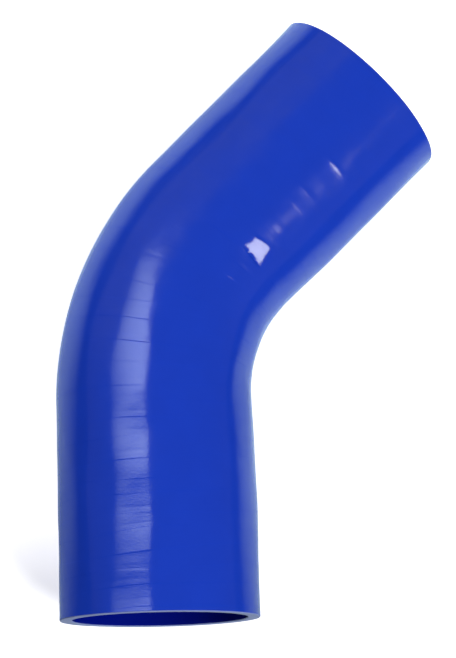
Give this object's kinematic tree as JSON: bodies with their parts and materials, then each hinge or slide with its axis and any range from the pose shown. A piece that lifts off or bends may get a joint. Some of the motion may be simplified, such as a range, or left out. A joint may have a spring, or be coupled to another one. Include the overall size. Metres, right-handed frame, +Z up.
{
  "type": "silicone elbow hose",
  "caption": "Blue silicone coupling hose with a 45 degree bend, two straight legs, square cut mouths and a spiral tape-wrapped skin.",
  "frame": {"origin": "on the ground, under the middle of the hose's box, with the hose lying on its side", "axes": "+Z up, square to the plane of the bend; the lower leg runs along Y and its mouth faces -Y; the bend turns towards +X, so the upper leg's mouth faces halfway between +X and +Y"},
  "size_m": [0.1276, 0.1996, 0.0661],
  "materials": {
    "blue_silicone": "satin, wrapped and cured under tape"
  },
  "bodies": {
    "root": {"elbow_hose": "blue_silicone"}
  },
  "joints": []
}
